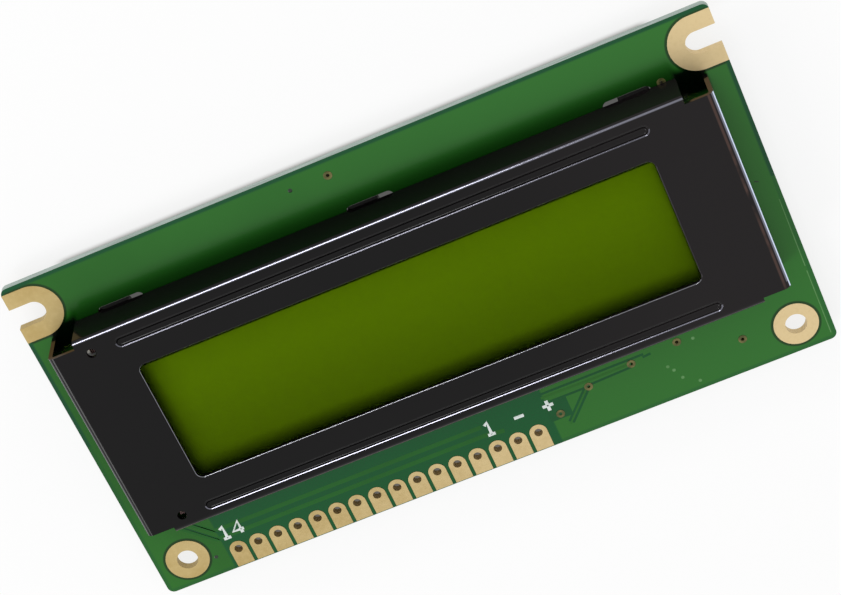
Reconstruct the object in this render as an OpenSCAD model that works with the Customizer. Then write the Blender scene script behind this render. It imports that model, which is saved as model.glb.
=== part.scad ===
// Character display module: a liquid-crystal cell and its thin edge-lit
// backlight, clamped to a circuit board by a pressed steel bezel whose tabs
// are folded behind the board.
//
// X runs along the row of soldering pads, Y towards the slotted edge and Z
// towards the viewer. X = 0 and Y = 0 are the centre of the board. Z = 0 is
// the plane the module lies on, which its two chip covers touch.

/* [Circuit board] */
// Length of the board along the pad row
board_len = 84; // [82:0.5:96]
// Width of the board across the pad row
board_wid = 44; // [43.5:0.5:56]
// Thickness of the board
board_thick = 1; // [0.8:0.1:2]
// Radius of the board's outer corners
board_corner_r = 0.8; // [0.3:0.1:1.5]
// Thickness of every plated land above the board's faces
land_thick = 0.05; // [0.03:0.01:0.08]
// Thickness of the plating on the walls of holes and slots
plating = 0.05; // [0.03:0.01:0.08]

/* [Soldering pads] */
// Number of pads in the row
pad_count = 16; // [14:1:16]
// Distance from pad to pad
pad_pitch = 2.54; // [2.4:0.01:2.7]
// From the board's left end to the first hole
pad_first = 10; // [8:0.5:12]
// From the board's lower edge to the line of holes
pad_inset = 2.4; // [2:0.1:3]
// Finished bore of the pad holes
pad_bore = 1; // [0.8:0.05:1.1]
// Width of each pad, which ends in a half circle
pad_wid = 2.1; // [1.7:0.05:2.2]
// Bare strip between the pads and the board's lower edge
pad_setback = 0.1; // [0.05:0.05:0.4]

/* [Mounting holes and slots] */
// Finished bore of the two round mounting holes
mount_bore = 2.5; // [2:0.1:3]
// Outer diameter of the plated ring round each hole
mount_ring_d = 5.2; // [4.4:0.1:6]
// From the board's end to the centre of a round hole
mount_inset_x = 3.9; // [3.4:0.1:4.5]
// From the board's lower edge to the centre of a round hole
mount_inset_y = 3.5; // [3.2:0.1:4.5]
// Finished width of the open slots in the upper corners
slot_wid = 2.6; // [2:0.1:3]
// From the board's end to the centre of a slot's round end
slot_depth = 2.5; // [2:0.1:3.5]
// From the board's upper edge to the slots' centre line
slot_inset = 3.9; // [3.6:0.1:4]
// Width of the plated land round each slot
slot_land_wid = 1.95; // [1.2:0.05:2]

/* [Plated through holes] */
// Finished bore of the small plated holes
via_bore = 0.4; // [0.3:0.05:0.6]
// Outer diameter of their lands
via_land_d = 1; // [0.8:0.05:1.1]
// Step of the grid on which small holes and parts are placed
place_grid = 0.25; // [0.2:0.01:0.3]

/* [Bezel] */
// Length of the bezel over its end walls
bezel_len = 78.4; // [77:0.1:79.6]
// Width of the bezel over its long walls
bezel_wid = 26.9; // [26.5:0.1:27.3]
// From the board's centre line up to the bezel's centre line
bezel_offset = 1.8; // [1.5:0.1:2]
// Height of the bezel's face above the board
bezel_height = 5.6; // [5.2:0.1:7]
// Thickness of the bezel's steel sheet
sheet = 0.5; // [0.4:0.05:0.6]
// Outer radius of the bends between face and walls
bend_r = 0.8; // [0.65:0.05:1.2]
// Length of the open notch at each corner, along X
notch_len = 3.3; // [2.5:0.1:4]
// Width of the open notch at each corner, along Y
notch_wid = 0.85; // [0.8:0.05:1.2]
// Gap between the foot of the walls and the board
foot_gap = 0.1; // [0.1:0.01:0.3]

/* [Window and pressings] */
// Length of the viewing window
window_len = 61; // [55:0.5:64]
// Width of the viewing window
window_wid = 15.8; // [14:0.1:17]
// Radius of the window's corners
window_corner_r = 0.8; // [0.5:0.1:2]
// Radius rolled onto the window's front edge
window_edge_r = 0.2; // [0.1:0.05:0.3]
// Length of the two stiffening grooves over their centres
groove_len = 61.6; // [50:0.2:66]
// Width of the grooves at the face
groove_wid = 1; // [0.9:0.05:1.2]
// Depth the grooves are pressed in
groove_depth = 0.35; // [0.3:0.05:0.45]
// From a long wall's outer face to the groove beside it
groove_inset = 1.95; // [1.8:0.05:2.1]
// Bore of the two small locating holes
locator_bore = 1.1; // [0.8:0.1:1.4]
// From the left end wall's outer face to the locating holes
locator_inset = 4.85; // [4:0.05:5.5]

/* [Bezel tabs] */
// Distance from the middle tab to the tabs beside it
tab_spacing = 30.3; // [26:0.1:31]
// Width of each tab
tab_wid = 3.6; // [3:0.1:4]
// Length of the board's slot beyond the tab's width
tab_play = 2; // [0.8:0.1:2.4]
// Gap between a tab and the near end of its slot
tab_side_gap = 0.2; // [0.1:0.05:0.4]
// Gap between a tab's faces and the long sides of its slot
tab_face_gap = 0.4; // [0.3:0.05:0.5]
// Inner radius of the fold behind the board
tab_fold_r = 0.25; // [0.1:0.05:0.3]
// Reach of the folded end along the board's back
tab_reach = 2.4; // [1.5:0.1:3]

/* [Display cell] */
// Gap between the front glass and the bezel's end walls
glass_gap_x = 1.2; // [0.5:0.1:2]
// Gap between the front glass and the bezel's long walls
glass_gap_y = 0.3; // [0.2:0.05:0.5]
// Thickness of the front glass
front_glass_thick = 1.1; // [0.7:0.1:1.2]
// Thickness of the rear glass
rear_glass_thick = 1.1; // [0.7:0.1:1.2]
// How much shorter the rear glass is at each end
glass_step = 0.6; // [0.4:0.1:1]
// Thickness of the liquid crystal between the glasses
cell_gap = 0.1; // [0.05:0.01:0.15]
// Thickness of each polarizing film
polarizer_thick = 0.2; // [0.1:0.05:0.25]
// How far the front film reaches under the bezel's face
polarizer_lap = 1.5; // [1:0.1:1.6]
// Bare margin of the rear glass round the rear film
polarizer_margin = 0.5; // [0.3:0.1:1]
// Margin of the rear glass outside the seal
seal_margin = 0.4; // [0.2:0.1:0.8]
// Width of the seal line
seal_wid = 1; // [0.6:0.1:1.5]
// Width of the fill port in the left end of the seal
port_wid = 3; // [2:0.5:5]
// Reach of the resin plug beyond the port's sides
port_lap = 0.8; // [0.5:0.1:1.5]
// Radius of the resin plug in the step between the glasses
plug_r = 0.5; // [0.2:0.05:0.55]

/* [Contact strips] */
// Width of the two rubber contact strips
strip_wid = 1.8; // [1.4:0.1:2]
// Gap between a strip and the cell and backlight beside it
strip_gap = 0.4; // [0.2:0.05:0.5]
// Margin of the front glass beyond the strips' ends
strip_margin = 2.5; // [1.5:0.5:5]
// Distance between neighbouring contact fingers on the board
finger_pitch = 1.4; // [1.2:0.1:2]
// Width of each contact finger
finger_wid = 0.8; // [0.5:0.1:0.9]

/* [Backlight] */
// Margin of the rear glass beyond the backlight tray's ends
tray_margin = 0.4; // [0.2:0.1:1]
// Thickness of the tray's floor
tray_floor = 0.35; // [0.3:0.05:0.5]
// Thickness of the tray's walls
tray_wall = 0.6; // [0.5:0.1:1]
// Running gap round the light guide
guide_gap = 0.15; // [0.05:0.05:0.3]
// Thickness of the white reflector under the light guide
reflector_thick = 0.1; // [0.05:0.05:0.2]
// Thickness of the diffuser film over the light guide
diffuser_thick = 0.2; // [0.1:0.05:0.3]
// Thickness of the lamp board at the tray's right end
lamp_board_thick = 0.4; // [0.3:0.1:0.6]
// Number of lamps on it
lamp_count = 3; // [2:1:4]
// Distance from lamp to lamp
lamp_pitch = 5; // [4:0.5:5.5]
// Length of each lamp along the lamp board
lamp_len = 2; // [1.6:0.1:2.4]
// Depth of each lamp towards the light guide
lamp_depth = 0.8; // [0.6:0.1:1]
// Height of each lamp
lamp_high = 1; // [0.6:0.1:1.1]
// Diameter of the two leads that feed the lamps
lead_d = 0.5; // [0.4:0.05:0.6]
// Gap between a lead and the holes it passes
lead_gap = 0.15; // [0.1:0.05:0.2]
// Length of the leads below the board
lead_tail = 0.8; // [0.6:0.1:1]
// Width of the land round each lead's hole
lead_land_wid = 0.5; // [0.3:0.05:0.6]
// Length of each lead that stands out of its solder
lead_tip = 0.25; // [0.1:0.05:0.4]
// Thickness of the solder round the lead where it ends
solder_neck = 0.1; // [0.05:0.05:0.2]
// Relief under the tray's floor over the lands
tray_relief = 0.1; // [0.09:0.01:0.15]

/* [Chip covers] */
// Diameter of the resin cover over each bare chip
cover_d = 17; // [14:0.5:18]
// Diameter of the flat top of each cover
cover_top_d = 9; // [6:0.5:11]
// Height of each cover below the board
cover_high = 1.6; // [1.4:0.1:2.2]
// Distance between the two covers' centres
cover_spacing = 32; // [27:0.5:36]
// Side of the square silicon chips
die_side = 4.5; // [3:0.1:5.5]
// Thickness of the silicon chips
die_thick = 0.4; // [0.3:0.05:0.6]

/* [Surface-mounted parts] */
// Length of a resistor or capacitor
part_len = 2; // [1.6:0.1:2.2]
// Width of a resistor or capacitor
part_wid = 1.25; // [0.8:0.05:1.4]
// Height of a resistor
resistor_high = 0.5; // [0.4:0.05:0.6]
// Height of a capacitor
capacitor_high = 0.9; // [0.6:0.05:1.1]
// Length of the metal cap on each end
cap_len = 0.4; // [0.25:0.05:0.5]
// Thickness of the metal caps
cap_thick = 0.05; // [0.03:0.01:0.08]
// Reach of the solder and its land beyond each end
toe_len = 0.5; // [0.3:0.05:0.7]
// Thickness of the solder where it thins out
toe_edge = 0.03; // [0.02:0.01:0.05]
// Border of each land beside the part
land_border = 0.1; // [0.05:0.05:0.2]
// Distance between neighbouring resistors in the divider row
divider_pitch = 3.4; // [2.6:0.1:3.6]

/* [Hidden] */
$fn = 64;
eps = 0.01;

// Board levels and edges
board_back_z = cover_high;
board_front_z = board_back_z + board_thick;
right_x = board_len / 2;
upper_y = board_wid / 2;
lower_y = -board_wid / 2;
first_pad_x = pad_first - board_len / 2;
last_pad_x = first_pad_x + (pad_count - 1) * pad_pitch;
pad_y = lower_y + pad_inset;
mount_x = right_x - mount_inset_x;
mount_y = lower_y + mount_inset_y;
slot_x = right_x - slot_depth;
slot_y = upper_y - slot_inset;

// Bezel levels, walls and pressings
face_z = board_front_z + bezel_height;
face_back_z = face_z - sheet;
bezel_upper_y = bezel_offset + bezel_wid / 2;
inner_len = bezel_len - 2 * sheet;
inner_wid = bezel_wid - 2 * sheet;
groove_y = bezel_wid / 2 - groove_inset;
groove_r = (groove_wid * groove_wid / 4 + groove_depth * groove_depth) / (2 * groove_depth);
groove_z = face_z - groove_depth + groove_r;
tab_slot_len = tab_wid + tab_play;
tab_slot_wid = sheet + 2 * tab_face_gap;
tab_shift = tab_play / 2 - tab_side_gap;
tab_leg_y = bezel_wid / 2 - sheet / 2;

// Display cell, from the front glass down
glass_top_z = face_back_z - groove_depth;
glass_len = inner_len - 2 * glass_gap_x;
glass_wid = inner_wid - 2 * glass_gap_y;
cell_top_z = glass_top_z - front_glass_thick;
rear_top_z = cell_top_z - cell_gap;
rear_bottom_z = rear_top_z - rear_glass_thick;
rear_len = glass_len - 2 * glass_step;
rear_wid = 2 * (groove_y - strip_wid / 2 - strip_gap);
seal_len = rear_len - 2 * seal_margin;
seal_across = rear_wid - 2 * seal_margin;
film_bottom_z = rear_bottom_z - polarizer_thick;

// Contact strips and fingers
strip_len = glass_len - 2 * strip_margin;
finger_count = floor((strip_len - finger_wid) / finger_pitch) + 1;

// Backlight, from its tray up
tray_len = rear_len - 2 * tray_margin;
guide_top_z = film_bottom_z - diffuser_thick;
guide_bottom_z = board_front_z + tray_floor + reflector_thick;
bay_right_x = tray_len / 2 - tray_wall;
lamp_face_x = bay_right_x - lamp_board_thick;
guide_left_x = guide_gap - bay_right_x;
guide_right_x = lamp_face_x - lamp_depth - guide_gap;
guide_wid = rear_wid - 2 * tray_wall - 2 * guide_gap;
lead_x = lamp_face_x - lead_d / 2;
lead_y = lamp_pitch / 2;
lead_hole_d = lead_d + 2 * lead_gap;

// Places of the small plated holes: five in equal steps between the last pad
// and the right mounting hole, one near the upper edge and one beside the
// right tab's slot
via_steps = 128;
via_step = (mount_x - last_pad_x) / via_steps;
via_places = concat(
    [for (steps = [[13, 5], [30, 13], [52, 16], [75, 18], [103, 7]])
        [last_pad_x + steps[0] * via_step, pad_y + steps[1] * place_grid]],
    [
        [last_pad_x - 36 * place_grid, upper_y - 8 * place_grid],
        [
            tab_spacing + tab_slot_len / 2 + via_land_d / 2 + 3 * place_grid,
            bezel_upper_y + via_land_d / 10
        ]
    ]
);

// Places of the surface-mounted parts, each with its turn about Z: a row of
// resistors between the pads and the bezel, a pair of each kind beside it,
// and one of each kind between the two chip covers
divider_y = (pad_y + pad_wid / 2 + bezel_offset - bezel_wid / 2) / 2;
pair_x = cover_spacing / 2;
pair_step = part_wid + 4 * place_grid;
middle_step = part_len + place_grid;
resistor_places = concat(
    [for (i = [-2 : 2]) [i * divider_pitch, divider_y, 90]],
    [for (i = [0, 1]) [pair_x, divider_y + i * pair_step, 0]],
    [[-middle_step, 2 * bezel_offset, 90]]
);
capacitor_places = concat(
    [for (i = [0, 1]) [-pair_x - middle_step, divider_y + i * pair_step, 0]],
    [[middle_step, 2 * bezel_offset, 90]]
);

// ---- Shared shapes ----

// Rectangle centred on the origin with round corners
module round_rect(len, wid, r) {
    square([len, wid - 2 * r], center = true);
    square([len - 2 * r, wid], center = true);
    for (x = [-1, 1], y = [-1, 1])
        translate([x * (len / 2 - r), y * (wid / 2 - r)])
            circle(r);
}

// Flat piece of the given length and width, from one level to another
module slab(len, wid, z_low, z_high) {
    translate([-len / 2, -wid / 2, z_low])
        cube([len, wid, z_high - z_low]);
}

// Moves its children from the display's centre to their place on the board
module on_display() {
    translate([0, bezel_offset, 0])
        children();
}

// Plated hole: a sleeve through the board with a round land on each face
module plated_hole(bore, land_d) {
    translate([0, 0, board_back_z])
        rotate_extrude()
            polygon([
                [bore / 2, -land_thick], [land_d / 2, -land_thick],
                [land_d / 2, 0], [bore / 2 + plating, 0],
                [bore / 2 + plating, board_thick], [land_d / 2, board_thick],
                [land_d / 2, board_thick + land_thick], [bore / 2, board_thick + land_thick]
            ]);
}

// Hole that takes a plated hole's sleeve
module sleeve_hole(bore) {
    translate([0, 0, board_back_z - 1])
        cylinder(d = bore + 2 * plating, h = board_thick + 2);
}

// ---- Circuit board and its platings ----

module board_outline() {
    round_rect(board_len, board_wid, board_corner_r);
}

// Slot of half width r, open towards +X
module open_slot(r) {
    translate([slot_x, slot_y])
        circle(r);
    translate([slot_x, slot_y - r])
        square([slot_depth + 1, 2 * r]);
}

module pad_holes() {
    for (i = [0 : pad_count - 1])
        translate([first_pad_x + i * pad_pitch, pad_y, 0])
            sleeve_hole(pad_bore);
}

module tab_slots() {
    for (i = [-1 : 1], side = [-1, 1])
        translate([i * tab_spacing, side * tab_leg_y, board_back_z - 1])
            linear_extrude(board_thick + 2)
                round_rect(tab_slot_len, tab_slot_wid, tab_slot_wid / 2 - eps);
}

module printed_board() {
    color("seagreen")
        difference() {
            translate([0, 0, board_back_z])
                linear_extrude(board_thick)
                    difference() {
                        board_outline();
                        open_slot(slot_wid / 2 + plating);
                        mirror([1, 0])
                            open_slot(slot_wid / 2 + plating);
                    }
            pad_holes();
            for (side = [-1, 1])
                translate([side * mount_x, mount_y, 0])
                    sleeve_hole(mount_bore);
            for (place = via_places)
                translate([place[0], place[1], 0])
                    sleeve_hole(via_bore);
            on_display() {
                tab_slots();
                for (side = [-1, 1])
                    translate([lead_x, side * lead_y, 0])
                        sleeve_hole(lead_hole_d);
            }
        }
}

// One pad: a tongue-shaped land on each face joined by the plated hole
module soldering_pad() {
    for (z = [board_back_z - land_thick, board_front_z])
        translate([0, 0, z])
            linear_extrude(land_thick)
                difference() {
                    union() {
                        circle(d = pad_wid);
                        translate([-pad_wid / 2, pad_setback - pad_inset])
                            square([pad_wid, pad_inset - pad_setback]);
                    }
                    circle(d = pad_bore);
                }
    plated_hole(pad_bore, pad_bore + 2 * plating);
}

module edge_pads() {
    color("goldenrod")
        for (i = [0 : pad_count - 1])
            translate([first_pad_x + i * pad_pitch, pad_y, 0])
                soldering_pad();
}

module mounting_ring(side) {
    color("goldenrod")
        translate([side * mount_x, mount_y, 0])
            plated_hole(mount_bore, mount_ring_d);
}

module mounting_ring_left() {
    mounting_ring(-1);
}

module mounting_ring_right() {
    mounting_ring(1);
}

// Plated U round the right-hand slot: a land on each face and the slot's wall
module slot_land() {
    for (z = [board_back_z - land_thick, board_front_z])
        translate([0, 0, z])
            linear_extrude(land_thick)
                intersection() {
                    board_outline();
                    difference() {
                        open_slot(slot_wid / 2 + slot_land_wid);
                        open_slot(slot_wid / 2);
                    }
                }
    translate([0, 0, board_back_z])
        linear_extrude(board_thick)
            intersection() {
                board_outline();
                difference() {
                    open_slot(slot_wid / 2 + plating);
                    open_slot(slot_wid / 2);
                }
            }
}

module slot_land_left() {
    color("goldenrod")
        mirror([1, 0, 0])
            slot_land();
}

module slot_land_right() {
    color("goldenrod")
        slot_land();
}

module through_platings() {
    color("goldenrod")
        for (place = via_places)
            translate([place[0], place[1], 0])
                plated_hole(via_bore, via_land_d);
}

// ---- Bezel ----

// Section of a channel that opens downwards, with round bends at the top
module channel_section(wid) {
    depth = bezel_height - foot_gap;
    inner_r = bend_r - sheet;
    difference() {
        channel_outline(wid, depth, bend_r);
        translate([0, -sheet])
            channel_outline(wid - 2 * sheet, depth, inner_r);
    }
}

module channel_outline(wid, depth, r) {
    translate([-wid / 2, -depth])
        square([wid, depth - r]);
    translate([r - wid / 2, -depth])
        square([wid - 2 * r, depth]);
    for (x = [-1, 1])
        translate([x * (wid / 2 - r), -r])
            circle(r);
}

// Face with the two long walls, and face with the two end walls
module bezel_shell() {
    translate([0, 0, face_z]) {
        rotate([90, 0, 90])
            translate([0, 0, notch_len - bezel_len / 2])
                linear_extrude(bezel_len - 2 * notch_len)
                    channel_section(bezel_wid);
        rotate([90, 0, 0])
            translate([0, 0, notch_wid - bezel_wid / 2])
                linear_extrude(bezel_wid - 2 * notch_wid)
                    channel_section(bezel_len);
    }
}

// Round-bottomed bar along X with ball ends, for both sides of a groove
module groove_bar(r) {
    for (side = [-1, 1])
        translate([0, side * groove_y, groove_z]) {
            translate([-groove_len / 2, 0, 0])
                rotate([0, 90, 0])
                    cylinder(r = r, h = groove_len);
            for (x = [-1, 1])
                translate([x * groove_len / 2, 0, 0])
                    sphere(r);
        }
}

// What the rolled edge takes off, next to a window wall at x = 0
module edge_section() {
    difference() {
        translate([-eps, 0])
            square([window_edge_r + eps, window_edge_r + 1]);
        translate([window_edge_r, 0])
            circle(window_edge_r);
        translate([window_edge_r - eps, 0])
            square([2 * eps, window_edge_r]);
    }
}

module window_cut() {
    straight_x = window_len / 2 - window_corner_r;
    straight_y = window_wid / 2 - window_corner_r;
    translate([0, 0, face_back_z - 1])
        linear_extrude(sheet + 2)
            round_rect(window_len, window_wid, window_corner_r);
    translate([0, 0, face_z - window_edge_r]) {
        for (side = [0, 180])
            rotate([0, 0, side]) {
                translate([window_len / 2, straight_y, 0])
                    rotate([90, 0, 0])
                        linear_extrude(2 * straight_y)
                            edge_section();
                translate([-straight_x, window_wid / 2, 0])
                    rotate([90, 0, 90])
                        linear_extrude(2 * straight_x)
                            edge_section();
            }
        for (x = [-1, 1], y = [-1, 1])
            translate([x * straight_x, y * straight_y, 0])
                rotate_extrude()
                    translate([window_corner_r, 0])
                        edge_section();
    }
}

// One tab of the upper wall: a leg through the board, folded along its back
module bezel_tab() {
    leg_out = bezel_wid / 2;
    leg_in = leg_out - sheet;
    fold_out_r = tab_fold_r + sheet;
    translate([-tab_wid / 2, 0, board_back_z])
        rotate([90, 0, 90])
            linear_extrude(tab_wid) {
                translate([leg_in, tab_fold_r])
                    square([sheet, board_thick + foot_gap - tab_fold_r + eps]);
                translate([leg_in - tab_reach, -sheet])
                    square([tab_reach - tab_fold_r, sheet]);
                intersection() {
                    translate([leg_in - tab_fold_r, -sheet])
                        square([fold_out_r, fold_out_r]);
                    translate([leg_in - tab_fold_r, tab_fold_r])
                        difference() {
                            circle(fold_out_r);
                            circle(tab_fold_r);
                        }
                }
            }
}

module bezel_tabs() {
    for (i = [-1 : 1])
        translate([i * tab_spacing + (i > 0 ? tab_shift : -tab_shift), 0, 0]) {
            bezel_tab();
            mirror([0, 1, 0])
                bezel_tab();
        }
}

module bezel() {
    color("dimgray")
        on_display() {
            difference() {
                union() {
                    bezel_shell();
                    intersection() {
                        groove_bar(groove_r + sheet);
                        slab(inner_len, inner_wid, board_front_z, face_z - sheet / 2);
                    }
                }
                groove_bar(groove_r);
                window_cut();
                for (side = [-1, 1])
                    translate([locator_inset - bezel_len / 2, side * groove_y, face_back_z - 1])
                        cylinder(d = locator_bore, h = sheet + 2);
            }
            bezel_tabs();
        }
}

// ---- Display cell ----

module front_polarizer() {
    color("olivedrab")
        on_display()
            slab(window_len + 2 * polarizer_lap, window_wid + 2 * polarizer_lap,
                glass_top_z, glass_top_z + polarizer_thick);
}

module front_glass() {
    color("lightcyan", 0.5)
        on_display()
            slab(glass_len, glass_wid, cell_top_z, glass_top_z);
}

module cell_seal() {
    color("white")
        on_display()
            difference() {
                slab(seal_len, seal_across, rear_top_z, cell_top_z);
                slab(seal_len - 2 * seal_wid, seal_across - 2 * seal_wid,
                    rear_top_z - 1, cell_top_z + 1);
                translate([-seal_len / 2, 0, 0])
                    slab(2 * seal_wid + 1, port_wid, rear_top_z - 1, cell_top_z + 1);
            }
}

// Resin pressed into the fill port and set in the step between the glasses
module fill_port_plug() {
    color("khaki")
        on_display() {
            translate([(seal_wid - rear_len + seal_margin) / 2 - eps, 0, 0])
                slab(seal_margin + seal_wid, port_wid, rear_top_z, cell_top_z);
            translate([-rear_len / 2, port_wid / 2 + port_lap, cell_top_z])
                rotate([90, 0, 0])
                    linear_extrude(port_wid + 2 * port_lap)
                        intersection() {
                            circle(plug_r);
                            translate([-plug_r, -plug_r])
                                square(plug_r);
                        }
        }
}

module liquid_crystal() {
    color("yellowgreen")
        on_display()
            slab(seal_len - 2 * seal_wid, seal_across - 2 * seal_wid, rear_top_z, cell_top_z);
}

module rear_glass() {
    color("lightcyan", 0.5)
        on_display()
            slab(rear_len, rear_wid, rear_bottom_z, rear_top_z);
}

module rear_polarizer() {
    color("olivedrab")
        on_display()
            slab(rear_len - 2 * polarizer_margin, rear_wid - 2 * polarizer_margin,
                film_bottom_z, rear_bottom_z);
}

// ---- Contact strips ----

module elastomer_strip(side) {
    color("lightpink")
        on_display()
            translate([0, side * groove_y, 0])
                slab(strip_len, strip_wid, board_front_z + land_thick, cell_top_z);
}

module upper_elastomer_strip() {
    elastomer_strip(1);
}

module lower_elastomer_strip() {
    elastomer_strip(-1);
}

// Row of gold fingers that the strip stands on
module contact_fingers(side) {
    color("gold")
        on_display()
            for (i = [0 : finger_count - 1])
                translate([(i - (finger_count - 1) / 2) * finger_pitch, side * groove_y, 0])
                    slab(finger_wid, strip_wid, board_front_z, board_front_z + land_thick);
}

module upper_contact_fingers() {
    contact_fingers(1);
}

module lower_contact_fingers() {
    contact_fingers(-1);
}

// ---- Backlight ----

module backlight_tray() {
    color("white")
        on_display()
            difference() {
                slab(tray_len, rear_wid, board_front_z, guide_top_z);
                slab(2 * bay_right_x, rear_wid - 2 * tray_wall,
                    board_front_z + tray_floor, guide_top_z + 1);
                for (side = [-1, 1])
                    translate([lead_x, side * lead_y, board_front_z - 1]) {
                        cylinder(d = lead_hole_d, h = tray_floor + 2);
                        cylinder(r = lead_hole_d / 2 + lead_land_wid + lead_gap,
                            h = tray_relief + 1);
                    }
            }
}

// Flat piece of the light guide's own outline
module guide_slab(z_low, z_high) {
    translate([(guide_left_x + guide_right_x) / 2, 0, 0])
        slab(guide_right_x - guide_left_x, guide_wid, z_low, z_high);
}

module reflector_film() {
    color("whitesmoke")
        on_display()
            guide_slab(board_front_z + tray_floor, guide_bottom_z);
}

module light_guide() {
    color("honeydew")
        on_display()
            guide_slab(guide_bottom_z, guide_top_z);
}

module diffuser_film() {
    color("ivory")
        on_display()
            slab(tray_len, rear_wid, guide_top_z, film_bottom_z);
}

module lamp_board() {
    color("darkgreen")
        on_display()
            translate([(lamp_face_x + bay_right_x) / 2, 0, 0])
                slab(lamp_board_thick, guide_wid, board_front_z + tray_floor, guide_top_z);
}

module lamps() {
    middle_z = (board_front_z + tray_floor + guide_top_z) / 2;
    color("lemonchiffon")
        on_display()
            for (i = [0 : lamp_count - 1])
                translate([lamp_face_x - lamp_depth / 2, (i - (lamp_count - 1) / 2) * lamp_pitch, 0])
                    slab(lamp_depth, lamp_len, middle_z - lamp_high / 2, middle_z + lamp_high / 2);
}

// Places its children on the two backlight leads
module at_leads() {
    on_display()
        for (side = [-1, 1])
            translate([lead_x, side * lead_y, 0])
                children();
}

module backlight_leads() {
    color("silver")
        at_leads()
            translate([0, 0, board_back_z - lead_tail])
                cylinder(d = lead_d, h = guide_top_z - board_back_z + lead_tail - guide_gap);
}

module lead_platings() {
    color("goldenrod")
        at_leads()
            plated_hole(lead_hole_d, lead_hole_d + 2 * lead_land_wid);
}

// Cone of solder on the back, which also fills the gap round the lead
module lead_solder() {
    cone_z = board_back_z - land_thick;
    cone_high = lead_tail - land_thick - lead_tip;
    color("silver")
        at_leads()
            difference() {
                union() {
                    translate([0, 0, cone_z - cone_high])
                        cylinder(r1 = lead_d / 2 + solder_neck,
                            r2 = lead_hole_d / 2 + lead_land_wid, h = cone_high);
                    translate([0, 0, cone_z - eps])
                        cylinder(d = lead_hole_d, h = board_thick + land_thick + eps);
                }
                translate([0, 0, cone_z - lead_tail - 1])
                    cylinder(d = lead_d, h = board_thick + lead_tail + 3);
            }
}

// ---- Chips under their resin covers ----

module at_chip(side) {
    translate([side * cover_spacing / 2, bezel_offset, board_back_z])
        children();
}

module chip(side) {
    color("slategray")
        at_chip(side)
            slab(die_side, die_side, -die_thick, 0);
}

module controller_chip() {
    chip(-1);
}

module driver_chip() {
    chip(1);
}

// Low dome with a flat top and a round shoulder, moulded over the chip
module chip_cover(side) {
    top_r = cover_top_d / 2;
    run = cover_d / 2 - top_r;
    shoulder_r = (run * run + cover_high * cover_high) / (2 * cover_high);
    color("black")
        at_chip(side)
            difference() {
                rotate_extrude()
                    intersection() {
                        translate([0, -cover_high])
                            square([cover_d, cover_high]);
                        union() {
                            translate([0, -cover_high])
                                square([top_r, cover_high]);
                            translate([top_r, shoulder_r - cover_high])
                                circle(shoulder_r);
                        }
                    }
                slab(die_side, die_side, -die_thick, 1);
            }
}

module controller_cover() {
    chip_cover(-1);
}

module driver_cover() {
    chip_cover(1);
}

// ---- Surface-mounted parts on the back ----

// Places its children on the board's back, upside down, so +Z leads away
module at_parts(places) {
    for (place = places)
        translate([place[0], place[1], board_back_z])
            rotate([180, 0, place[2]])
                children();
}

// Ceramic block between and inside its two end caps
module part_block(high) {
    slab(part_len - 2 * cap_thick, part_wid - 2 * cap_thick,
        land_thick + cap_thick, land_thick + high - cap_thick);
}

module part_caps(high) {
    difference() {
        for (side = [-1, 1])
            translate([side * (part_len - cap_len) / 2, 0, 0])
                slab(cap_len, part_wid, land_thick, land_thick + high);
        part_block(high);
    }
}

// Two lands under the end caps, reaching out for the solder
module part_land_pair() {
    for (side = [-1, 1])
        translate([side * (part_len + toe_len - cap_len) / 2, 0, 0])
            slab(cap_len + toe_len, part_wid + 2 * land_border, 0, land_thick);
}

// Hollow-faced solder toe against each end cap
module solder_toes(high) {
    toe = min(high, toe_len) - toe_edge;
    for (side = [0, 180])
        rotate([0, 0, side])
            translate([part_len / 2, part_wid / 2, land_thick])
                rotate([90, 0, 0])
                    linear_extrude(part_wid)
                        difference() {
                            square(toe);
                            translate([toe + toe_edge, toe + toe_edge])
                                circle(toe);
                        }
}

module part_lands() {
    color("goldenrod")
        at_parts(concat(resistor_places, capacitor_places))
            part_land_pair();
}

module resistor_bodies() {
    color("black")
        at_parts(resistor_places)
            part_block(resistor_high);
}

module resistor_caps() {
    color("silver")
        at_parts(resistor_places)
            part_caps(resistor_high);
}

module capacitor_bodies() {
    color("tan")
        at_parts(capacitor_places)
            part_block(capacitor_high);
}

module capacitor_caps() {
    color("silver")
        at_parts(capacitor_places)
            part_caps(capacitor_high);
}

module part_solder() {
    color("lightgray") {
        at_parts(resistor_places)
            solder_toes(resistor_high);
        at_parts(capacitor_places)
            solder_toes(capacitor_high);
    }
}

printed_board();
edge_pads();
mounting_ring_left();
mounting_ring_right();
slot_land_left();
slot_land_right();
through_platings();
bezel();
front_polarizer();
front_glass();
cell_seal();
fill_port_plug();
liquid_crystal();
rear_glass();
rear_polarizer();
upper_elastomer_strip();
lower_elastomer_strip();
upper_contact_fingers();
lower_contact_fingers();
backlight_tray();
reflector_film();
light_guide();
diffuser_film();
lamp_board();
lamps();
backlight_leads();
lead_platings();
lead_solder();
controller_chip();
driver_chip();
controller_cover();
driver_cover();
part_lands();
resistor_bodies();
resistor_caps();
capacitor_bodies();
capacitor_caps();
part_solder();
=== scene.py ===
# %% [markdown]
# # A character display module
# A green circuit board carries a liquid-crystal cell, and a black pressed
# bezel clamps the two together. The solid pieces arrive finished from the
# CAD model. This file gives each of them its surface, adds the thin things
# that lie on the board, and lights and frames the whole.
#
# ## The frame
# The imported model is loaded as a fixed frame. Places and sizes are read from
# its pieces, so that everything added here lies where the model says.

# %% Load the frame
import math

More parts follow.
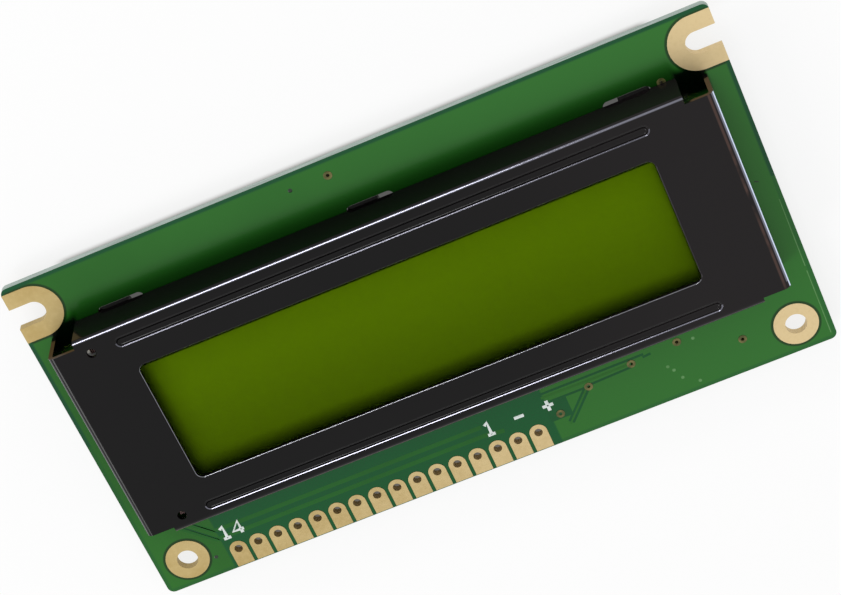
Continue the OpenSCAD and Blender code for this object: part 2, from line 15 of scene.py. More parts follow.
import bpy
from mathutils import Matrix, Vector


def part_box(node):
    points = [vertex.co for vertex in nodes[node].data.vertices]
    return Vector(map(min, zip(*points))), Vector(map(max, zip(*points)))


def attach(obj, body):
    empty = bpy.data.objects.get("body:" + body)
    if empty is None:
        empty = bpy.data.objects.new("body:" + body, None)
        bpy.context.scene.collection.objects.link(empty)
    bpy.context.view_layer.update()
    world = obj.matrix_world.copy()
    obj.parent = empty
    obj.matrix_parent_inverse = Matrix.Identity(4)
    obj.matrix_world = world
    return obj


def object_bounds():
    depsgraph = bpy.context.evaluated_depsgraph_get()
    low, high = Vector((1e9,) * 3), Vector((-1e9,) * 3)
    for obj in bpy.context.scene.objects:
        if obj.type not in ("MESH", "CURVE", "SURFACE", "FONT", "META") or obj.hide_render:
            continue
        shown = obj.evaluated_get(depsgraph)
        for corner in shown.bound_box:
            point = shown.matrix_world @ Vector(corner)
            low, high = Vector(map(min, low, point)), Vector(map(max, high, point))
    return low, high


MM = 0.001
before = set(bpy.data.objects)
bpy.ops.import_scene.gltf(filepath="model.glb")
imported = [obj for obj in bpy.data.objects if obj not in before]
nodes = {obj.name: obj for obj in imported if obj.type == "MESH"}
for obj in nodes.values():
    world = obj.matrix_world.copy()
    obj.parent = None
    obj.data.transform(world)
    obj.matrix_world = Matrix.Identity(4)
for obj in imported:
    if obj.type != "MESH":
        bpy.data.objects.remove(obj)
cad_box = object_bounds()
print("pieces in the frame:", len(nodes))

# %% Sizes read from the frame
board_low, board_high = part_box("printed_board")
pads_low, pads_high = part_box("edge_pads")
bezel_low, bezel_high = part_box("bezel")
controller_low, controller_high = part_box("controller_cover")
driver_low, driver_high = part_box("driver_cover")
layer_low, layer_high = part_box("liquid_crystal")
leads_low, leads_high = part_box("backlight_leads")

PAD_COUNT = 16
PAD_PITCH = 2.54 * MM
pad_wid = pads_high.x - pads_low.x - (PAD_COUNT - 1) * PAD_PITCH
first_pad_x = pads_low.x + pad_wid / 2
board_mid_z = (board_low.z + board_high.z) / 2
bezel_mid_y = (bezel_low.y + bezel_high.y) / 2
print("board, mm:", [round(v / MM, 2) for v in board_high - board_low])
print("pad width, mm:", round(pad_wid / MM, 2), "first pad at", round(first_pad_x / MM, 2))

# %% [markdown]
# ## The camera
# The camera looks down on the module from beyond its slotted edge, with a
# long lens, so that the board's sides stay nearly parallel.

# %% Camera
EYE_MM = (40.11, 121.47, 248.88)
TURN_DEG = (-26.959, -2.385, -23.033)
LENS_MM = 105.66
NEAREST_SEEN = 10 * MM


def add_camera(eye_mm, turn_deg, lens_mm):
    """A camera at a place in millimetres, turned by three angles in degrees."""
    data = bpy.data.cameras.new("camera")
    data.lens = lens_mm
    data.clip_start = NEAREST_SEEN
    camera = bpy.data.objects.new("camera", data)
    camera.location = Vector(eye_mm) * MM
    camera.rotation_euler = [math.radians(angle) for angle in turn_deg]
    bpy.context.scene.collection.objects.link(camera)
    bpy.context.scene.camera = camera
    print("camera distance, mm:", round(camera.location.length / MM, 1))


add_camera(EYE_MM, TURN_DEG, LENS_MM)

# %% [markdown]
# ## Helpers for materials
# A shader tree is a chain of small steps. These helpers add one step each,
# so that a material's own cell reads like a recipe. Every pattern reads
# Object coordinates in metres, which stay with the piece when it moves.

# %% Steps of a tree
def add(tree, kind, inputs=None, **settings):
    """Adds a node, sets its properties and feeds its inputs from values or sockets."""
    node = tree.nodes.new(kind)
    for key, value in settings.items():
        setattr(node, key, value)
    for key, value in (inputs or {}).items():
        if isinstance(value, bpy.types.NodeSocket):
            tree.links.new(value, node.inputs[key])
        else:
            node.inputs[key].default_value = value
    return node


def calc(tree, operation, *values):
    """One Math node."""
    return add(tree, "ShaderNodeMath", dict(enumerate(values)), operation=operation).outputs[0]


def all_of(tree, first, *others):
    """Where every one of the masks is 1: their product."""
    for other in others:
        first = calc(tree, "MULTIPLY", first, other)
    return first


def any_of(tree, first, *others):
    """Where any of the masks is 1: the largest."""
    for other in others:
        first = calc(tree, "MAXIMUM", first, other)
    return first


def dimmed(tree, mask, part):
    """1, lowered by the given part where the mask is 1."""
    return calc(tree, "MULTIPLY_ADD", mask, -part, 1.0)


# %% Masks by size and distance
PEAK_CORE = 0.4


def fade(tree, value, none, full):
    """0 at one value and 1 at another, whichever is larger, with a smooth step between."""
    ends = {"Value": value, "From Min": none, "From Max": full}
    return add(
        tree, "ShaderNodeMapRange", ends, interpolation_type="SMOOTHSTEP"
    ).outputs["Result"]


def inside(tree, value, low, high, soft):
    """1 between low and high, with soft ends."""
    rise = fade(tree, value, low - soft, low + soft)
    fall = fade(tree, value, high + soft, high - soft)
    return calc(tree, "MULTIPLY", rise, fall)


def size_of(tree, value):
    """A value without its sign."""
    return calc(tree, "ABSOLUTE", value)


def peak(tree, value, middle, reach):
    """1 about the middle, falling smoothly to 0 at the given reach from it."""
    off = size_of(tree, calc(tree, "SUBTRACT", value, middle))
    return fade(tree, off, reach, PEAK_CORE * reach)


def length_of(tree, along, across):
    """The length of a step with two parts at right angles."""
    squares = [calc(tree, "MULTIPLY", part, part) for part in (along, across)]
    return calc(tree, "SQRT", calc(tree, "ADD", *squares))


def axes(tree):
    """The X, Y and Z of a point on the piece."""
    place = add(tree, "ShaderNodeTexCoord").outputs["Object"]
    return add(tree, "ShaderNodeSeparateXYZ", {"Vector": place}).outputs


def facing(tree):
    """How far the face looks along X, Y and Z, without sign."""
    normal = add(tree, "ShaderNodeNewGeometry").outputs["Normal"]
    parts = add(tree, "ShaderNodeSeparateXYZ", {"Vector": normal}).outputs
    return [size_of(tree, part) for part in parts]


# %% Colour, noise and bump
def rgb(red, green, blue):
    """A colour given as it shows on a screen, turned into light."""
    return tuple((v / 255) ** 2.2 for v in (red, green, blue)) + (1.0,)


def blend(tree, factor, first, second):
    """A mix of two colours."""
    inputs = {0: factor, 6: first, 7: second}
    return add(tree, "ShaderNodeMix", inputs, data_type="RGBA").outputs[2]


def noise(tree, waves, detail=2.0, roughness=0.5, stretch=(1, 1, 1)):
    """Noise on Object coordinates, with so many waves in a metre."""
    place = add(tree, "ShaderNodeTexCoord").outputs["Object"]
    mapped = add(tree, "ShaderNodeMapping", {"Vector": place, "Scale": stretch}).outputs[0]
    inputs = {"Vector": mapped, "Scale": waves, "Detail": detail, "Roughness": roughness}
    return add(tree, "ShaderNodeTexNoise", inputs).outputs["Fac"]


def patches(tree, waves, detail=3, none=0.3, full=0.7):
    """Soft patches: noise with its middle values spread over 0 to 1."""
    return fade(tree, noise(tree, waves, detail), none, full)


def wavering(tree, waves, least, spread):
    """A value that wanders from its least by up to its spread, for a roughness."""
    return calc(tree, "MULTIPLY_ADD", noise(tree, waves, 2), spread, least)


def grain(tree, height, depth_mm):
    """A bump of the given depth."""
    inputs = {"Height": height, "Distance": depth_mm * MM, "Strength": 1.0}
    return add(tree, "ShaderNodeBump", inputs).outputs["Normal"]


# %% Materials and who wears them
def new_material(name, **sockets):
    """A material with its shader's constant values set on the shader's own sockets."""
    material = bpy.data.materials.new(name)
    material.use_nodes = True
    shader = material.node_tree.nodes["Principled BSDF"]
    for key, value in sockets.items():
        shader.inputs[key.replace("_", " ")].default_value = value
    return material, material.node_tree, shader


def feed(tree, shader, **sockets):
    """Links sockets into the shader."""
    for key, value in sockets.items():
        tree.links.new(value, shader.inputs[key.replace("_", " ")])


def dress(material, *names):
    """Gives CAD pieces their material."""
    for name in names:
        nodes[name].data.materials.clear()
        nodes[name].data.materials.append(material)
    print(material.name, "on", ", ".join(names))


# %% [markdown]
# ## The solder mask
# The board is glass-epoxy laminate under a green lacquer. Over copper the
# lacquer looks warm and light, and a little lighter towards the right.
# Where there is no copper, beside the pads and along the board's rim, it
# looks deeper and bluer. Shade is painted into its colour where little light
# would reach it: along the foot of the bezel's upper wall and in the corners
# beside it, and a thin painted shadow line runs round each screw land, where
# the lacquer stops at the gold. The board is one solid, so one material sorts
# all this out by place. Here and below, upper means towards the slotted edge
# and lower towards the pads.

# %% Colours of the lacquer
MASK = rgb(42, 105, 35)
MASK_DEEP = rgb(37, 98, 31)
MASK_RIGHT = rgb(47, 111, 42)
MASK_BARE = rgb(5, 85, 42)
MASK_BARE_DEEP = rgb(5, 78, 36)
MASK_RIM = rgb(10, 78, 44)
# Painted shade at the bezel wall's foot, in its corners and round the lands.
MASK_FOOT_SHADE = rgb(14, 58, 6)
MASK_PAINTED_SHADE = rgb(3, 16, 8)
LACQUER_GLOSS = 0.25
LACQUER_WAVES = 500
LACQUER_ROUGH = 0.14
LACQUER_SPREAD = 0.08


def lacquer_relief(tree):
    """The faint orange peel of a dried lacquer."""
    return grain(tree, noise(tree, 700, 3), 0.003)


# %% Where the lacquer looks bare, and where shade is painted
BARE_PAST_LEFT = 0.4 * MM
BARE_PAST_RIGHT = 1.1 * MM
BARE_SOFT = 0.15 * MM
FOOT_REACH = 1.7 * MM
FOOT_INSET = 2.6 * MM
FOOT_END_SOFT = 1.0 * MM
CORNER_LEN = 3.5 * MM
CORNER_WID = 3.0 * MM
CORNER_PAST_WALL = 0.7 * MM
CORNER_SOFT = 0.6 * MM
CORNER_END_SOFT = 0.3 * MM
OUTLINE_OFF = 0.1 * MM
OUTLINE_REACH = 0.28 * MM
OUTLINE_STRENGTH = 0.7


def bare_strip(tree, x, y):
    """1 over the strip without copper that the pads stand in."""
    left, right = pads_low.x - BARE_PAST_LEFT, pads_high.x + BARE_PAST_RIGHT
    along = inside(tree, x, left, right, BARE_SOFT)
    return all_of(tree, along, calc(tree, "LESS_THAN", y, bezel_low.y))


def wall_foot(tree, x, y):
    """1 where shade is painted along the foot of the bezel's upper wall, short of its ends."""
    across = inside(tree, y, bezel_mid_y, bezel_high.y + FOOT_REACH, FOOT_REACH)
    wall_end = bezel_high.x - FOOT_INSET
    return all_of(tree, across, fade(tree, size_of(tree, x), wall_end, wall_end - FOOT_END_SOFT))


def wall_corners(tree, x, y):
    """1 where shade is painted in the two corners where the upper wall ends beside the bezel's
    notches.
    """
    lowest, highest = bezel_high.y - CORNER_WID, bezel_high.y + CORNER_PAST_WALL
    across = inside(tree, y, lowest, highest, CORNER_SOFT)
    first, last = bezel_high.x - CORNER_LEN, bezel_high.x
    return all_of(tree, across, inside(tree, size_of(tree, x), first, last, CORNER_END_SOFT))


def land_edge(tree, x, y, left_land, open_ended):
    """1 along the outline of a left land and of its mirror image at the right, where a shadow line
    is painted.

    An open-ended land runs on straight from its round end to the board's end.
    """
    low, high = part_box(left_land)
    radius = (high.y - low.y) / 2
    middle_x = radius - high.x if open_ended else -(low.x + high.x) / 2
    along = calc(tree, "SUBTRACT", size_of(tree, x), middle_x)
    if open_ended:
        along = calc(tree, "MINIMUM", along, 0.0)
    across = calc(tree, "SUBTRACT", y, (low.y + high.y) / 2)
    distance = length_of(tree, along, across)
    return peak(tree, distance, radius + OUTLINE_OFF, OUTLINE_REACH)


# %% [markdown]
# The cut edge shows bare laminate: pale, matt and streaked by its layers of
# glass cloth. In the openings its walls are painted darker and browner, a
# painted shade for their depth. An upright face is a cut one, and it lies in
# an opening when it is far from the outline.

# %% Solder mask and laminate
LAMINATE = rgb(176, 189, 183)
LAMINATE_DARK = rgb(140, 154, 146)
LAMINATE_SHADED = rgb(74, 76, 56)
CLOTH_STRETCH = (0.15, 0.15, 9)
RIM_NONE = 0.6 * MM
RIM_FULL = 0.3 * MM
LOWER_RIM_LOSS = 0.6
OPENING_FROM = 0.9 * MM
CUT_ROUGH = 0.6


def lacquer_tone(tree, from_edge):
    """The lacquer's colour at every place of the board's two faces."""
    x, y, z = axes(tree)
    on_front = calc(tree, "GREATER_THAN", z, board_mid_z)
    tone = blend(tree, patches(tree, 60), MASK, MASK_DEEP)
    tone = blend(tree, fade(tree, x, board_low.x, board_high.x), tone, MASK_RIGHT)
    tone = blend(tree, all_of(tree, bare_strip(tree, x, y), on_front), tone, MASK_BARE)
    tone = blend(tree, all_of(tree, wall_foot(tree, x, y), on_front), tone, MASK_FOOT_SHADE)
    tone = blend(tree, all_of(tree, wall_corners(tree, x, y), on_front), tone, MASK_PAINTED_SHADE)
    outline = any_of(
        tree,
        land_edge(tree, x, y, "mounting_ring_left", False),
        land_edge(tree, x, y, "slot_land_left", True),
    )
    tone = blend(tree, all_of(tree, outline, OUTLINE_STRENGTH), tone, MASK_PAINTED_SHADE)
    rim = fade(tree, from_edge, RIM_NONE, RIM_FULL)
    lower_side = calc(tree, "LESS_THAN", y, 0.0)
    return blend(tree, all_of(tree, rim, dimmed(tree, lower_side, LOWER_RIM_LOSS)), tone, MASK_RIM)


def laminate_tone(tree, from_edge):
    """The cut laminate's colour."""
    streaks = fade(tree, noise(tree, 900, 3, 0.7, CLOTH_STRETCH), 0.35, 0.65)
    tone = blend(tree, streaks, LAMINATE_DARK, LAMINATE)
    # Painted shade: the walls of the openings are darker.
    in_opening = calc(tree, "GREATER_THAN", from_edge, OPENING_FROM)
    return blend(tree, in_opening, tone, LAMINATE_SHADED)


def board_material():
    material, tree, shader = new_material(
        "green_solder_mask", Specular_IOR_Level=LACQUER_GLOSS
    )
    x, y = axes(tree)[:2]
    from_end = calc(tree, "SUBTRACT", board_high.x, size_of(tree, x))
    from_side = calc(tree, "SUBTRACT", board_high.y, size_of(tree, y))
    from_edge = calc(tree, "MINIMUM", from_end, from_side)
    cut = fade(tree, facing(tree)[2], 0.7, 0.5)
    tones = lacquer_tone(tree, from_edge), laminate_tone(tree, from_edge)
    peel = wavering(tree, LACQUER_WAVES, LACQUER_ROUGH, LACQUER_SPREAD)
    rough = calc(tree, "MULTIPLY_ADD", cut, CUT_ROUGH, peel)
    feed(tree, shader, Base_Color=blend(tree, cut, *tones))
    feed(tree, shader, Roughness=rough, Normal=lacquer_relief(tree))
    return material


dress(board_material(), "printed_board")

# %% [markdown]
# ## The gold
# The lands are copper under nickel and a flash of gold. Electroless gold is
# matt and pale, more straw than jewellery. Its colour wanders a little from
# land to land, and grows paler and more finely mottled towards the right.
# In the small holes between the layers the lacquer has run over the gold,
# so that it looks brown.

# %% Gold
GOLD = rgb(188, 167, 116)
GOLD_DULL = rgb(176, 153, 100)
GOLD_PALE = rgb(220, 197, 150)
GOLD_VEILED = rgb(118, 112, 66)
GOLD_VEILED_DARK = rgb(76, 76, 40)


def gold_material():
    material, tree, shader = new_material("flash_gold", Metallic=0.75)
    tone = blend(tree, patches(tree, 260), GOLD, GOLD_DULL)
    to_right = fade(tree, axes(tree)[0], board_low.x, board_high.x)
    pale = calc(tree, "SUBTRACT", to_right, 0.25)
    pale = calc(tree, "MULTIPLY_ADD", noise(tree, 2200, 2), 0.5, pale)
    feed(tree, shader, Base_Color=blend(tree, pale, tone, GOLD_PALE))
    feed(tree, shader, Roughness=wavering(tree, 1500, 0.42, 0.2))
    feed(tree, shader, Normal=grain(tree, noise(tree, 4000, 2), 0.004))
    return material


def veiled_gold_material():
    material, tree, shader = new_material("veiled_gold", Metallic=0.4)
    tone = blend(tree, patches(tree, 1400), GOLD_VEILED, GOLD_VEILED_DARK)
    feed(tree, shader, Base_Color=tone, Roughness=wavering(tree, 900, 0.4, 0.2))
    return material


dress(
    gold_material(),
    "edge_pads", "mounting_ring_left", "mounting_ring_right", "slot_land_left",
    "slot_land_right", "upper_contact_fingers", "lower_contact_fingers",
    "lead_platings", "part_lands",
)
dress(veiled_gold_material(), "through_platings")

# %% [markdown]
# ## The bezel's finish
# The bezel is pressed from sheet steel that was coated black before it was
# cut. Its flat faces have a low satin gloss, and their black is a little
# lighter and warmer to the right. Painted highlights, metallic grey so that
# the lamps catch them too, run along the upper wall's bend, along the lower
# rim of each groove, fainter on the upper one, and round most of the window.
# The right end's bend has a bright bluish-white painted highlight with a
# broken brown line beside it, and the left end's bend only a faint one. The
# cut faces at the corner notches are plain tarnished steel.
#
# The highlights could be strips laid on the bezel, but the material paints
# them on its surface. A bend is where a face looks half up and half aside,
# which the normal tells, and a groove or the window is known by its place.

# %% The bezel's colours and features
BLACK = rgb(15, 14, 15)
BLACK_WARM = rgb(30, 27, 28)
# Painted highlights: grey on the bends, grooves and window, bright at the right end.
BEND_HIGHLIGHT = rgb(112, 112, 122)
WINDOW_HIGHLIGHT = rgb(140, 140, 146)
END_HIGHLIGHT = rgb(212, 228, 255)
END_BROWN_LINE = rgb(78, 64, 60)
TARNISH = rgb(62, 49, 44)
WINDOW_X = 30.5 * MM
WINDOW_Y = 7.9 * MM
WINDOW_ROLL = 0.25 * MM
GROOVE_Y = 11.5 * MM
GROOVE_HALF_LEN = 30.8 * MM
GROOVE_HALF_WID = 0.5 * MM
RIM_WID = 0.2 * MM
RIM_DEPTH_MM = 0.15
NOTCH_LEN = 3.3 * MM
NOTCH_WID = 0.85 * MM
NOTCH_SLACK = 0.02 * MM
CUT_LOOK = 0.95
BEND_R = 0.8 * MM
print("window, mm:", [round(2 * v / MM, 1) for v in (WINDOW_X, WINDOW_Y)])


def cut_faces(tree, x, y, faces_x, faces_y):
    """1 on the cut faces of the corner notches."""
    from_mid_y = size_of(tree, calc(tree, "SUBTRACT", y, bezel_mid_y))
    cuts = []
    for place, target, looks in (
        (size_of(tree, x), bezel_high.x - NOTCH_LEN, faces_x),
        (from_mid_y, bezel_high.y - bezel_mid_y - NOTCH_WID, faces_y),
    ):
        near = calc(tree, "COMPARE", place, target, NOTCH_SLACK)
        cuts.append(all_of(tree, near, calc(tree, "GREATER_THAN", looks, CUT_LOOK)))
    return any_of(tree, *cuts)


def groove_distance(tree, x, y):
    """How far a point lies from the nearest groove's middle line, and on which side."""
    past_end = calc(tree, "SUBTRACT", size_of(tree, x), GROOVE_HALF_LEN)
    past_end = calc(tree, "MAXIMUM", past_end, 0.0)
    from_mid = calc(tree, "SUBTRACT", y, bezel_mid_y)
    nearest = calc(tree, "MULTIPLY", calc(tree, "SIGN", from_mid), GROOVE_Y)
    across = calc(tree, "SUBTRACT", from_mid, nearest)
    return length_of(tree, past_end, across), across


def round_window(tree, x, y):
    """1 on the window's rolled edge and inside it."""
    beside = size_of(tree, calc(tree, "SUBTRACT", y, bezel_mid_y))
    return all_of(
        tree,
        calc(tree, "LESS_THAN", size_of(tree, x), WINDOW_X + WINDOW_ROLL),
        calc(tree, "LESS_THAN", beside, WINDOW_Y + WINDOW_ROLL),
    )


# %% Where highlights are painted on the bezel
BEND_LOOK = 0.7
BEND_LOOK_REACH = 0.15
END_LOOK = 0.9
END_LOOK_REACH = 0.12
LEFT_END_LOSS = 0.8
UPPER_GROOVE_LOSS = 0.3
LOWER_EDGE_LOSS = 0.25
WINDOW_EDGE_IN = 0.15 * MM
BROWN_IN = 0.65 * MM
BROWN_REACH = 0.2 * MM


def bend_highlights(tree, x, y, on_top, faces_z):
    """1 where a highlight is painted on a bend of the front: all but the lower wall's."""
    off_lower = calc(tree, "GREATER_THAN", y, bezel_low.y + 2 * BEND_R)
    left_end = calc(tree, "LESS_THAN", x, bezel_low.x + BEND_R)
    bends = peak(tree, faces_z, BEND_LOOK, BEND_LOOK_REACH)
    bends = all_of(tree, bends, off_lower, on_top, dimmed(tree, left_end, LEFT_END_LOSS))
    right_edge = calc(tree, "GREATER_THAN", x, WINDOW_X - WINDOW_EDGE_IN)
    lower_edge = calc(tree, "LESS_THAN", y, bezel_mid_y - WINDOW_Y + WINDOW_EDGE_IN)
    no_highlight = any_of(tree, right_edge, all_of(tree, lower_edge, LOWER_EDGE_LOSS))
    no_highlight = all_of(tree, no_highlight, round_window(tree, x, y))
    return all_of(tree, bends, dimmed(tree, no_highlight, 1.0))


def groove_highlights(tree, y, aside, across):
    """1 where a highlight is painted along the lower rim of each groove, a little less on the
    upper groove.
    """
    rim = peak(tree, aside, GROOVE_HALF_WID + 0.5 * RIM_WID, 0.5 * RIM_WID)
    lower_rim = all_of(tree, rim, calc(tree, "LESS_THAN", across, 0.0))
    upper_groove = calc(tree, "GREATER_THAN", y, bezel_mid_y)
    return all_of(tree, lower_rim, dimmed(tree, upper_groove, UPPER_GROOVE_LOSS))


def brown_line(tree, x, on_top):
    """A broken line beside the right end's bend."""
    from_end = calc(tree, "SUBTRACT", bezel_high.x, x)
    line = peak(tree, from_end, BROWN_IN, BROWN_REACH)
    return all_of(tree, line, on_top, patches(tree, 300, none=0.3, full=0.55))


# %% Black coating, painted highlights and cut steel
def bezel_material():
    material, tree, shader = new_material("black_coated_steel", Specular_IOR_Level=0.17)
    x, y, z = axes(tree)
    faces_x, faces_y, faces_z = facing(tree)
    aside, across = groove_distance(tree, x, y)
    on_top = calc(tree, "GREATER_THAN", z, bezel_high.z - 1.5 * BEND_R)
    off_groove = calc(tree, "GREATER_THAN", aside, GROOVE_HALF_WID + RIM_WID)
    bends = all_of(tree, bend_highlights(tree, x, y, on_top, faces_z), off_groove)
    highlighted = any_of(tree, bends, groove_highlights(tree, y, aside, across))
    brown = brown_line(tree, x, on_top)
    right_end = calc(tree, "GREATER_THAN", x, bezel_high.x - BEND_R)
    end_highlight = all_of(tree, right_end, peak(tree, faces_x, END_LOOK, END_LOOK_REACH))
    cut = cut_faces(tree, x, y, faces_x, faces_y)

    warmth = calc(tree, "ADD", noise(tree, 25, 3), fade(tree, x, 0.0, bezel_high.x))
    tone = blend(tree, fade(tree, warmth, 0.3, 1.6), BLACK, BLACK_WARM)
    tone = blend(tree, highlighted, tone, BEND_HIGHLIGHT)
    tone = blend(tree, all_of(tree, highlighted, round_window(tree, x, y)), tone, WINDOW_HIGHLIGHT)
    tone = blend(tree, brown, tone, END_BROWN_LINE)
    tone = blend(tree, end_highlight, tone, END_HIGHLIGHT)
    feed(tree, shader, Base_Color=blend(tree, cut, tone, TARNISH))
    feed(tree, shader, Metallic=any_of(tree, highlighted, end_highlight, cut, brown))
    feed(tree, shader, Roughness=wavering(tree, 900, 0.1, 0.08))

    flat = fade(tree, aside, GROOVE_HALF_WID, GROOVE_HALF_WID + RIM_WID)
    relief = calc(tree, "MULTIPLY_ADD", noise(tree, 2600, 2), 0.01, flat)
    feed(tree, shader, Normal=grain(tree, relief, RIM_DEPTH_MM))
    return material


dress(bezel_material(), "bezel")

# %% [markdown]
# ## The display cell
# What shows in the window lies deep: a tinted film on top, then clear glass,
# then the yellow-green layer on the underside of that glass. The film and
# the glass let light through, so that the frame's edge throws its soft
# shadow on the coloured layer below, as on the real cell. Thin clear sheets
# don't bend light enough to matter here, so plain transparency does. Shade is
# also painted into the layer's colour: it darkens towards each side of the
# window, most at the lower and left sides, and is darker low than high.

# %% Film and glass
FILM = rgb(34, 44, 2)
FILM_PALE = rgb(40, 54, 3)
GLASS = rgb(50, 70, 20)
GLASS_PALE = rgb(56, 78, 26)


def film_material():
    material, tree, shader = new_material(
        "tinted_film", Alpha=0.3, Specular_IOR_Level=0.02, Roughness=0.3
    )
    feed(tree, shader, Base_Color=blend(tree, noise(tree, 30), FILM, FILM_PALE))
    return material


def glass_material():
    material, tree, shader = new_material(
        "clear_glass", Alpha=0.06, Roughness=0.06, Specular_IOR_Level=0.04
    )
    feed(tree, shader, Base_Color=blend(tree, noise(tree, 40, 1), GLASS, GLASS_PALE))
    return material


dress(film_material(), "front_polarizer", "rear_polarizer")
dress(glass_material(), "front_glass", "rear_glass")

# %% The coloured layer
# Painted shade: darker low (LCD_LOW) than high (LCD_HIGH), and LCD_SHADE at the window's sides.
LCD_LOW = rgb(116, 152, 6)
LCD_HIGH = rgb(144, 192, 8)
LCD_SHADE = rgb(28, 40, 3)
# Where the shade painted at each side of the layer is dark and where the
# layer is fully lit, in millimetres into the window from that side's edge.
SHADE_LOW = (-1.2, 1.9)
SHADE_HIGH = (0.97, 1.12)
SHADE_LEFT = (-0.9, 1.4)
SHADE_RIGHT = (-0.4, 0.6)


def lit_from(tree, value, edge, inward, shade):
    """0 to 1 from one side of the window, going inward along a positive or negative axis."""
    dark, lit = [edge + inward * depth * MM for depth in shade]
    return fade(tree, value, dark, lit)


def layer_material():
    material, tree, shader = new_material(
        "yellow_green_layer", Roughness=0.55, Specular_IOR_Level=0.02
    )
    x, y = axes(tree)[:2]
    rise = fade(tree, y, layer_low.y, layer_high.y)
    clouds = calc(tree, "MULTIPLY_ADD", noise(tree, 50), 0.15, rise)
    tone = blend(tree, clouds, LCD_LOW, LCD_HIGH)
    lit = all_of(
        tree,
        lit_from(tree, y, bezel_mid_y - WINDOW_Y, 1, SHADE_LOW),
        lit_from(tree, y, bezel_mid_y + WINDOW_Y, -1, SHADE_HIGH),
        lit_from(tree, x, -WINDOW_X, 1, SHADE_LEFT),
        lit_from(tree, x, WINDOW_X, -1, SHADE_RIGHT),
    )
    feed(tree, shader, Base_Color=blend(tree, lit, LCD_SHADE, tone))
    return material


dress(layer_material(), "liquid_crystal")

# %% [markdown]
# ## Metal that was melted
# Solder fillets, tinned leads and the caps of the small parts are all tin.
# Tin that froze from a melt is bright, with shallow waves.

# %% Tin
TIN = rgb(206, 208, 208)
TIN_DULL = rgb(176, 178, 180)


def tin_material():
    material, tree, shader = new_material("bright_tin", Metallic=1.0)
    dull = patches(tree, 900, 2, none=0.35, full=0.65)
    feed(tree, shader, Base_Color=blend(tree, dull, TIN, TIN_DULL))
    feed(tree, shader, Roughness=wavering(tree, 1400, 0.14, 0.25))
    feed(tree, shader, Normal=grain(tree, noise(tree, 1200), 0.02))
    return material


dress(
    tin_material(),
    "backlight_leads", "lead_solder", "resistor_caps", "capacitor_caps", "part_solder",
)

# %% [markdown]
# ## Plain mouldings, films and small bodies
# The rest are plain solids of one stuff each: resin, ceramic, silicon and
# moulded plastic. They share one recipe, two close tones that drift into
# each other, a roughness that wavers and a fine grain. Each stuff has its
# own values for it, in a table.

# %% One recipe for plain stuffs
def plain_material(name, tone, other, least_rough, spread, waves, depth_mm):
    """Two drifting tones with a wavering roughness and a fine grain."""
    material, tree, shader = new_material(name)
    feed(tree, shader, Base_Color=blend(tree, patches(tree, waves), rgb(*tone), rgb(*other)))
    feed(tree, shader, Roughness=wavering(tree, waves * 3, least_rough, spread))
    feed(tree, shader, Normal=grain(tree, noise(tree, waves * 8, 3), depth_mm))
    return material


# %% The plain stuffs
# name: two tones, least roughness and its spread, waves in a metre, depth of
# the grain in millimetres, and the pieces.
PLAIN_STUFFS = {
    "cover_resin": (
        (22, 22, 24), (30, 29, 31), 0.2, 0.2, 150, 0.012, ["controller_cover", "driver_cover"],
    ),
    "resistor_glaze": ((26, 26, 30), (38, 38, 42), 0.2, 0.15, 900, 0.004, ["resistor_bodies"]),
    "capacitor_ceramic": (
        (168, 138, 100), (150, 120, 86), 0.4, 0.2, 900, 0.006, ["capacitor_bodies"],
    ),
    "seal_resin": ((210, 206, 190), (190, 186, 170), 0.5, 0.2, 300, 0.01, ["cell_seal"]),
    "port_resin": ((196, 168, 92), (180, 150, 80), 0.15, 0.1, 400, 0.01, ["fill_port_plug"]),
    "white_moulding": (
        (232, 232, 226), (220, 220, 212), 0.4, 0.2, 200, 0.01, ["backlight_tray"],
    ),
    "white_film": (
        (240, 240, 238), (230, 230, 228), 0.6, 0.2, 200, 0.004,
        ["reflector_film", "diffuser_film"],
    ),
    "clear_acrylic": ((222, 230, 216), (212, 222, 206), 0.08, 0.1, 100, 0.002, ["light_guide"]),
    "lamp_laminate": ((60, 110, 60), (50, 96, 50), 0.4, 0.2, 400, 0.006, ["lamp_board"]),
    "lamp_resin": ((226, 220, 150), (214, 206, 130), 0.2, 0.1, 500, 0.004, ["lamps"]),
    "bare_silicon": (
        (120, 122, 132), (96, 98, 110), 0.1, 0.1, 700, 0.001,
        ["controller_chip", "driver_chip"],
    ),
}
for name, (*recipe, pieces) in PLAIN_STUFFS.items():
    dress(plain_material(name, *recipe), *pieces)

# %% [markdown]
# ## The contact strips
# Each rubber strip is a stack of thin slices, conducting and insulating in
# turn, which join the board's fingers to the glass. A wave along X shows
# the slices.

# %% Layered rubber
RUBBER_CLEAR = rgb(206, 160, 160)
RUBBER_BLACK = rgb(60, 56, 58)
SLICE_SCALE = 1600.0


def strip_material():
    material, tree, shader = new_material("layered_rubber", Roughness=0.6)
    place = add(tree, "ShaderNodeTexCoord").outputs["Object"]
    wave = add(
        tree, "ShaderNodeTexWave", {"Vector": place, "Scale": SLICE_SCALE}, bands_direction="X"
    )
    slices = fade(tree, wave.outputs["Fac"], 0.4, 0.6)
    feed(tree, shader, Base_Color=blend(tree, slices, RUBBER_CLEAR, RUBBER_BLACK))
    feed(tree, shader, Normal=grain(tree, noise(tree, 1800), 0.01))
    return material


dress(strip_material(), "upper_elastomer_strip", "lower_elastomer_strip")

# %% [markdown]
# ## Lines that lie on the board
# Copper tracks run under the lacquer and lift it a little, and the marks
# beside the pads are printed on top of it. Both are lines of one width that
# follow a path. Sweeping a profile by hand would take a page of code. In
# Geometry Nodes it is four steps: take the path, round its corners, sweep a
# flat profile along it, and give it its material.

